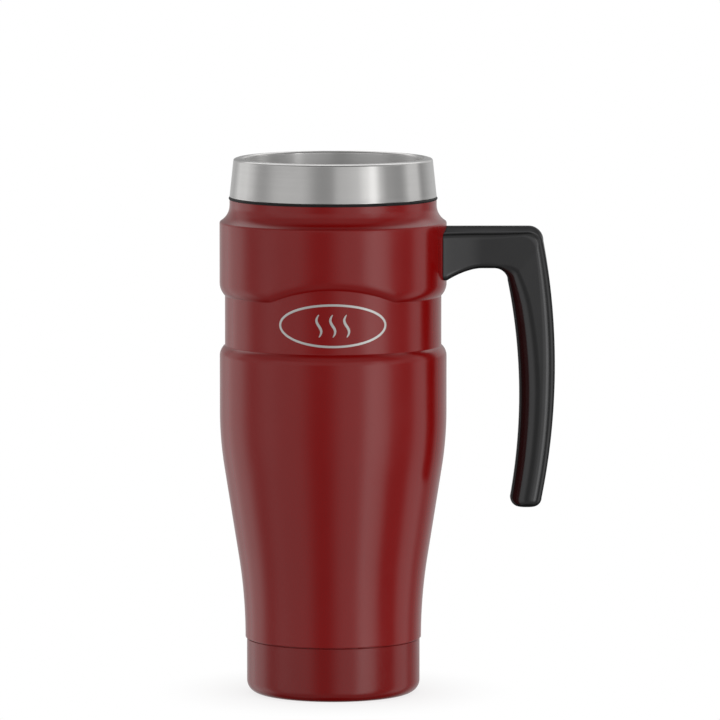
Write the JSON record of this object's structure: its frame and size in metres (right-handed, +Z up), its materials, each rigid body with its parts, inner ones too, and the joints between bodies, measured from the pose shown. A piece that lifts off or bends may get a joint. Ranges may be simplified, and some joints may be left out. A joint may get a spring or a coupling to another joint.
{
  "type": "insulated travel mug",
  "caption": "Tall tapered vacuum mug with a waisted, arched steel shell, an open black side handle and a screw-in steel-rimmed lid whose centre dial twists a valve open to drink all round.",
  "frame": {"origin": "middle of the underside, on the mug's axis", "axes": "+Z up along the mug's axis, +X towards the handle, -Y towards the arched front"},
  "size_m": [0.1271, 0.086, 0.2037],
  "materials": {
    "red_paint": "satin deep red coating",
    "foot_paint": "satin deep red coating",
    "liner_steel": "satin stainless",
    "copper_foil": "bright copper foil",
    "closure_steel": "pressed stainless",
    "seal_glass": "fused solder glass",
    "getter_grey": "sintered metal",
    "handle_plastic": "satin black moulded",
    "bracket_steel": "pressed stainless",
    "screw_steel": "bright stainless",
    "gasket_rubber": "black silicone",
    "band_steel": "brushed stainless",
    "collar_plastic": "plain black moulded",
    "lid_plastic": "satin black moulded",
    "knob_plastic": "satin black moulded",
    "ring_rubber": "black silicone",
    "clip_steel": "spring steel",
    "plunger_plastic": "satin dark grey moulded",
    "seal_rubber": "grey silicone"
  },
  "bodies": {
    "mug": {"outer_shell": "red_paint", "base_cup": "foot_paint", "inner_liner": "liner_steel", "liner_foil": "copper_foil", "vacuum_closure": "closure_steel", "vacuum_seal": "seal_glass", "getter": "getter_grey", "handle": "handle_plastic", "handle_bracket": "bracket_steel", "handle_screw_inner": "screw_steel", "handle_screw_outer": "screw_steel"},
    "gasket": {"lid_gasket": "gasket_rubber"},
    "lid": {"lid_band": "band_steel", "lid_collar": "collar_plastic", "lid_core": "lid_plastic"},
    "knob": {"twist_knob": "knob_plastic", "knob_oring": "ring_rubber", "shaft_clip": "clip_steel"},
    "valve": {"valve_plunger": "plunger_plastic", "valve_seal": "seal_rubber"}
  },
  "joints": [
    {"name": "lid_lift", "type": "slide", "parent": "mug", "child": "gasket", "axis": [0, 0, 1], "range_m": [0, 0.06]},
    {"name": "lid_unscrew", "type": "hinge", "parent": "gasket", "child": "lid", "pos_m": [0, 0, 0.189], "axis": [0, 0, 1], "range_deg": [0, 360]},
    {"name": "valve_twist", "type": "hinge", "parent": "lid", "child": "knob", "pos_m": [0, 0, 0.189], "axis": [0, 0, 1], "range_deg": [0, 90]},
    {"name": "valve_drop", "type": "slide", "parent": "lid", "child": "valve", "axis": [0, 0, -1], "range_m": [0, 0.004]}
  ],
  "couplings": [
    {"joint": "valve_drop", "follows": "valve_twist", "m_per_rad": 0.00254}
  ]
}
